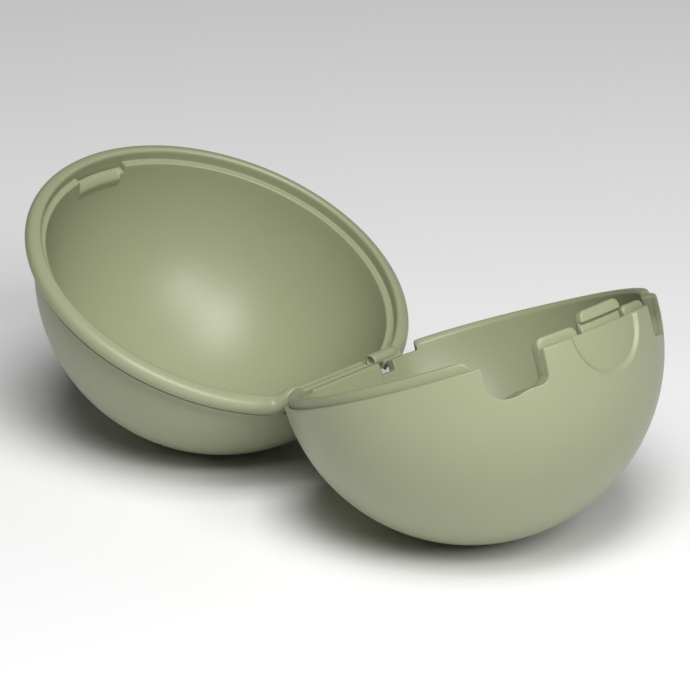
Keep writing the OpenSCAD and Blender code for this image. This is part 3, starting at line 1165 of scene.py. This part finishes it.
def inset(section: np.ndarray, by: float) -> np.ndarray:
    """Moves the points of a closed section inwards.

    Args:
        section: Points in counter-clockwise order.
        by: Distance.

    Returns:
        The smaller section.
    """
    ahead, behind = np.roll(section, -1, axis=0) - section, section - np.roll(section, 1, axis=0)
    both = unit(ahead) + unit(behind)
    normal = np.stack([-both[:, 1], both[:, 0]], axis=-1)
    scale = np.maximum(np.sum(normal * normal, axis=-1, keepdims=True) / 2, 0.5)
    return section + by * normal / scale


@dataclass
class Prism(Piece):
    """A solid of one section along Y, with rounded ends.

    Attributes:
        low: Where it starts.
        high: Where it ends.
        edge: Radius of the ends' edges along Y.
        pinch: How far the section draws in at the ends.
        step: Longest step along Y.
    """

    low: float = 0.0
    high: float = 0.0
    edge: float = 0.3
    pinch: float = 0.3
    step: float = 2.0

    def section(self, y: float) -> np.ndarray:
        """Draws the section at a distance along Y, counter-clockwise, as (x, z)."""
        raise NotImplementedError

    def place(self, section: np.ndarray, y: float) -> np.ndarray:
        """Sets a section at a distance along Y."""
        return xyz(section[:, 0], y, section[:, 1])

    def build(self) -> bpy.types.Object:
        """Makes the object from its section.

        Returns:
            The object.
        """
        start, length = self.low + self.edge, self.high - self.low - 2 * self.edge
        ends = [(self.edge * math.sin(t), self.pinch * (1 - math.cos(t))) for t in QUARTER[::-1]]
        count = max(1, int(length / self.step))
        stops = [(start - past, by) for past, by in ends]
        stops += [(start + length * k / count, 0.0) for k in range(1, count)]
        stops += [(start + length + past, by) for past, by in ends[::-1]]
        rows = [self.place(inset(self.section(y), by), y) for y, by in stops]
        return self.build_tube(np.array(rows), capped=True)


@dataclass
class LatchHook(Prism):
    """The sprung latch hook, bent round the ball like the walls beside it.

    Attributes:
        root: Outer radius of its spring.
        inner_r: Inner radius of its spring.
        stem: Outer radius of its stem.
        undercut: Radius of the undercut below its lip.
        lean: Inner radius at its top.
        lip_r: Outer radius of its lip.
        lip_z: Height of its lip's lower edge.
        lip_edge: Radius of that edge.
        lip_least: Least thickness of the lip.
        lip_flat: How much of the lip's thickness the top's outer edge leaves unrounded.
        top: Height of its top.
        corner: Radius of its top's corners along Y.
        top_r: Radius of its top's edges.
        down: Heights of the points on its spring.
    """

    name: str = "hook"
    body: Body = Body.LATCH
    solids: tuple[str, ...] = ("latch_hook",)
    low: float = -CASE.hook_half
    high: float = CASE.hook_half
    edge: float = 0.6
    pinch: float = 0.26
    step: float = 0.4
    root: float = 43.65
    inner_r: float = 42.6
    stem: float = 44.5
    undercut: float = 44.1
    lean: float = 43.35
    lip_r: float = 45.28
    lip_z: float = 2.35
    lip_edge: float = 0.3
    lip_least: float = 0.75
    lip_flat: float = 0.37
    top: float = 4.95
    corner: float = 2.0
    top_r: float = 0.5
    down: tuple[float, ...] = (-8.0, -6.0, -4.0, -2.0)

    def section(self, y: float) -> np.ndarray:
        """Draws the hook's section, lower towards its corners.

        Args:
            y: Distance along the hinge.

        Returns:
            Points as (ring radius, height).
        """
        over = max(0.0, abs(y) - (self.high - self.corner))
        top = self.top - self.corner + math.sqrt(max(self.corner**2 - over**2, 0.0))
        top = max(top, self.lip_z + self.lip_least)
        top_out = min(self.top_r, (top - self.lip_z) - self.lip_flat)
        edge = self.lip_edge
        points = [(math.sqrt(self.root**2 - z * z), z) for z in (*self.down, -0.6)]
        points += [(self.root, -0.4), (self.stem, -0.4), (self.stem, 0.6), (self.stem, 1.75)]
        points += [(self.undercut, 1.95), (self.undercut, self.lip_z - 0.06)]
        points.append((self.undercut + 0.1, self.lip_z))
        points += circle_points(self.lip_r - edge, self.lip_z + edge, edge, np.linspace(270, 360, 6))
        points += circle_points(self.lip_r - top_out, top - top_out, top_out, np.linspace(0, 90, 6))
        points += circle_points(self.lean + self.top_r, top - self.top_r, self.top_r, np.linspace(90, 170, 6))
        points.append((self.inner_r + 0.05, 0.6))
        points += [(math.sqrt(self.inner_r**2 - z * z), z) for z in (0.0, *self.down[::-1])]
        return np.array(points)

    def place(self, section: np.ndarray, y: float) -> np.ndarray:
        """Sets a section at a distance along Y, on its rings."""
        return xyz(np.sqrt(section[:, 0] ** 2 - y * y), y, section[:, 1])


@dataclass
class Knuckle(Prism):
    """The base's knuckle and the block behind it.

    Attributes:
        radius: Radius of the knuckle.
    """

    name: str = "knuckle"
    slot: Slot = Slot.LINER
    low: float = -15.6
    high: float = 7.8
    radius: float = 1.35

    def section(self, y: float) -> np.ndarray:
        """Draws the section, the same all along Y.

        Args:
            y: Distance along the hinge; not used.

        Returns:
            Points as (x, z).
        """
        flat = -CASE.base_flat
        points = circle_points(-CASE.hinge_x, CASE.hinge_z, self.radius, range(270, 22, -12))
        points += [(-43.1, 0.12), (-42.85, 0.16), (-42.6, 0.24), (-42.3, 0.38), (-42.0, 0.42)]
        points += [(flat - 1.2, 0.42), (flat - 0.45, 0.4), (flat - 0.2, 0.3), (flat - 0.05, 0.1)]
        points += [(flat - 0.02, z) for z in (-0.3, -3.0, -5.4)]
        points += [(flat - 0.3, -5.9), (flat - 0.8, -6.0), (-42.6, -3.4)]
        return np.array(points[::-1])


@dataclass
class Lug(Prism):
    """A lid's lug round the hinge pin, with the web that carries it.

    Attributes:
        radius: Radius of the lug.
        web: Left and right side of the web.
        web_z: Height at which the web's right side meets the lug.
    """

    body: Body = Body.LID
    edge: float = 0.25
    pinch: float = 0.25
    radius: float = 1.6
    web: tuple[float, float] = (-43.05, -41.75)
    web_z: float = 0.9

    def section(self, y: float) -> np.ndarray:
        """Draws the section, the same all along Y.

        Args:
            y: Distance along the hinge; not used.

        Returns:
            Points as (x, z) in the lid's drawing.
        """
        (left, right), top = self.web, CASE.ledge_z + 0.1
        start = math.degrees(math.asin(self.web_z / self.radius))
        points = circle_points(-CASE.hinge_x, CASE.hinge_z, self.radius, np.arange(75, 395 - start, 12))
        return np.array(points + [(right, self.web_z), (right, top), (left, top), (left, 1.6)])


@dataclass
class HingeWall(Piece):
    """The web between the arms, a box with rounded edges.

    Attributes:
        lowest: Its lowest corner.
        highest: Its highest corner.
        edge: Radius of its edges.
    """

    name: str = "hinge_wall"
    body: Body = Body.LID
    lowest: tuple[float, float, float] = (-42.4, -17.2, 1.45)
    highest: tuple[float, float, float] = (-40.65, 17.2, 3.6)
    edge: float = 0.25

    def build(self) -> bpy.types.Object:
        """Makes the box.

        Returns:
            The object.
        """
        low, high = np.array(self.lowest), np.array(self.highest)
        work = bmesh.new()
        bmesh.ops.create_cube(work, size=1.0)
        for v in work.verts:
            v.co = Vector((low + high) / 2 + np.array(v.co) * (high - low))
        bmesh.ops.bevel(work, geom=work.edges, offset=self.edge, segments=4, profile=0.5, affect="EDGES")
        for v in work.verts:
            v.co = Vector(self.lie.lay(np.array(v.co)))
        return make_object(bpy.data.meshes.new(self.name), work, 50.0)


# Finishes


@dataclass(frozen=True)
class Plastic:
    """A satin moulded plastic with fine grain.

    Attributes:
        slot: Slot that it belongs to.
        colour: Linear base colour.
        shade: Linear colour of its darker mottling.
        rough: Middle roughness.
        cloud_mm: Size of the mottling.
        speck_mm: Size of the spots of differing gloss.
        grain_mm: Size of the moulded grain.
        grain: Strength of the grain's bump.
    """

    slot: Slot
    colour: tuple[float, float, float]
    shade: tuple[float, float, float]
    rough: float = 0.38
    cloud_mm: float = 1000 / 35
    speck_mm: float = 0.77
    grain_mm: float = 0.35
    grain: float = 0.5

    @staticmethod
    def noise(tree: bpy.types.NodeTree, size_mm: float, detail: float, rough: float) -> bpy.types.NodeSocket:
        """Adds a noise of a given size in the piece's own coordinates.

        Args:
            tree: The material's nodes.
            size_mm: Size of the noise's largest spots.
            detail: Number of finer layers.
            rough: Strength of the finer layers.

        Returns:
            The noise's value.
        """
        place = tree.nodes.new("ShaderNodeTexCoord")
        node = tree.nodes.new("ShaderNodeTexNoise")
        node.inputs["Scale"].default_value = 1.0 / (size_mm * MM)
        node.inputs["Detail"].default_value = detail
        node.inputs["Roughness"].default_value = rough
        tree.links.new(place.outputs["Object"], node.inputs["Vector"])
        return node.outputs["Fac"]

    def material(self) -> bpy.types.Material:
        """Makes the material of nodes.

        Returns:
            The material.
        """
        material = bpy.data.materials.new(self.slot.value)
        material.use_nodes = True
        tree = material.node_tree
        tree.nodes.clear()
        out = tree.nodes.new("ShaderNodeOutputMaterial")
        body = tree.nodes.new("ShaderNodeBsdfPrincipled")
        body.inputs["Specular IOR Level"].default_value = 0.5
        body.inputs["IOR"].default_value = 1.46
        body.inputs["Subsurface Weight"].default_value = 0.06
        body.inputs["Subsurface Scale"].default_value = 0.0012
        body.inputs["Subsurface Radius"].default_value = (1.0, 0.9, 0.6)

        tint = tree.nodes.new("ShaderNodeMix")
        tint.data_type = "RGBA"
        tint.inputs[6].default_value = (*self.shade, 1.0)
        tint.inputs[7].default_value = (*self.colour, 1.0)
        tree.links.new(self.noise(tree, self.cloud_mm, 3.0, 0.55), tint.inputs[0])
        tree.links.new(tint.outputs[2], body.inputs["Base Color"])

        gloss = tree.nodes.new("ShaderNodeMapRange")
        gloss.inputs["To Min"].default_value = self.rough - 0.05
        gloss.inputs["To Max"].default_value = self.rough + 0.06
        tree.links.new(self.noise(tree, self.speck_mm, 2.0, 0.5), gloss.inputs["Value"])
        tree.links.new(gloss.outputs["Result"], body.inputs["Roughness"])

        bump = tree.nodes.new("ShaderNodeBump")
        bump.inputs["Strength"].default_value = self.grain
        bump.inputs["Distance"].default_value = 0.00004
        tree.links.new(self.noise(tree, self.grain_mm, 4.0, 0.6), bump.inputs["Height"])
        tree.links.new(bump.outputs["Normal"], body.inputs["Normal"])
        tree.links.new(body.outputs["BSDF"], out.inputs["Surface"])
        return material


PLASTICS = (
    Plastic(Slot.SHELL, (0.285, 0.304, 0.187), (0.27, 0.289, 0.176)),
    Plastic(Slot.LINER, (0.277, 0.297, 0.181), (0.262, 0.282, 0.17)),
)


# The studio


@dataclass(frozen=True)
class Lamp:
    """A soft square light that faces the case.

    Attributes:
        name: Its name.
        at: Place in the row's frame, in metres.
        power: Power in watts.
        size: Side of the square, in metres.
    """

    name: str
    at: tuple[float, float, float]
    power: float
    size: float = 0.5


@dataclass(frozen=True)
class Studio:
    """Floor, lights and camera.

    Attributes:
        centre: Middle of the base's ball, in metres.
        camera_at: Camera's place from there, in millimetres.
        aim_at: What the camera looks at, from there, in millimetres.
        lens: Focal length on a sensor 36 mm wide.
        lamps: The lights.
        lit: Height of the place that the lights face, in metres.
        floor_half: Half the floor's width, in metres.
        floor_z: Height of the floor, just under the case.
        floor_grey: The floor's linear grey and its roughness.
        glow: Strength of the white surroundings.
    """

    centre: np.ndarray
    camera_at: tuple[float, float, float] = (847.8, -967.3, 515.0)
    aim_at: tuple[float, float, float] = (-22.2, -19.7, 1.35)
    lens: float = 305.0
    lamps: tuple[Lamp, ...] = (
        Lamp("key", (0.522, -0.568, 0.964), 7.4),
        Lamp("side", (0.949, -0.298, 0.716), 7.6),
        Lamp("top", (0.36, -0.329, 1.141), 6.4),
    )
    lit: float = 0.045
    floor_half: float = 4.0
    floor_z: float = -0.0002
    floor_grey: tuple[float, float] = (0.86, 0.9)
    glow: float = 0.05

    def floor(self) -> None:
        """Lays the pale floor."""
        half, (grey, rough) = self.floor_half, self.floor_grey
        material = bpy.data.materials.new("pale_floor")
        material.use_nodes = True
        body = material.node_tree.nodes["Principled BSDF"]
        body.inputs["Base Color"].default_value = (grey, grey, grey, 1.0)
        body.inputs["Roughness"].default_value = rough
        mesh = bpy.data.meshes.new("floor")
        corners = [(-half, -half, 0), (half, -half, 0), (half, half, 0), (-half, half, 0)]
        mesh.from_pydata(corners, [], [(0, 1, 2, 3)])
        mesh.materials.append(material)
        floor = bpy.data.objects.new("floor", mesh)
        floor.location.z = self.floor_z
        bpy.context.scene.collection.objects.link(floor)

    @staticmethod
    def face(thing: bpy.types.Object, at: Vector, aim: Vector) -> None:
        """Places a light or the camera so that it looks at a point, and links it to the scene.

        Args:
            thing: The light or camera.
            at: Its place.
            aim: The point.
        """
        thing.location = at
        thing.rotation_euler = (aim - at).to_track_quat("-Z", "Y").to_euler()
        bpy.context.scene.collection.objects.link(thing)

    def lights(self) -> None:
        """Hangs the lights and sets the pale surroundings."""
        for lamp in self.lamps:
            data = bpy.data.lights.new(lamp.name, "AREA")
            data.shape = "SQUARE"
            data.size = lamp.size
            data.energy = lamp.power
            self.face(bpy.data.objects.new(lamp.name, data), Vector(lamp.at), Vector((0.0, 0.0, self.lit)))
        world = bpy.data.worlds.new("studio")
        world.use_nodes = True
        background = world.node_tree.nodes["Background"]
        background.inputs["Color"].default_value = (1.0, 1.0, 1.0, 1.0)
        background.inputs["Strength"].default_value = self.glow
        bpy.context.scene.world = world
        bpy.context.scene.view_settings.view_transform = "Standard"

    def camera(self) -> None:
        """Places the camera where the photograph was taken from."""
        data = bpy.data.cameras.new("camera")
        data.lens = self.lens
        data.sensor_width = 36.0
        data.clip_start = 0.05
        data.clip_end = 20.0
        camera = bpy.data.objects.new("camera", data)
        at, aim = (Vector(self.centre) + Vector(place) * MM for place in (self.camera_at, self.aim_at))
        self.face(camera, at, aim)
        bpy.context.scene.camera = camera


def main() -> None:
    """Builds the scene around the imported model."""
    logging.basicConfig(level=logging.INFO, format="%(message)s")
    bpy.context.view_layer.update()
    base, lid = make_lies()
    finishes = {plastic.slot: plastic.material() for plastic in PLASTICS}
    pieces = (
        BaseShell(base), BaseLiner(base), Knuckle(base), LatchHook(base),
        LidBowl(lid.upside_down()), LidCollar(lid), Lug(lid, "lug_far", low=12.9, high=19.6),
        Lug(lid, "lug_near", low=-19.6, high=-16.1), HingeWall(lid),
    )
    for piece in pieces:
        piece.make(finishes)
    for name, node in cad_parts.items():
        if not node.hide_render:
            node.data.materials.clear()
            node.data.materials.append(finishes[Slot.LINER])
            LOG.info("%s stays", name)
    studio = Studio(base.shift * MM)
    studio.floor()
    studio.lights()
    studio.camera()


if __name__ == "__main__":
    main()
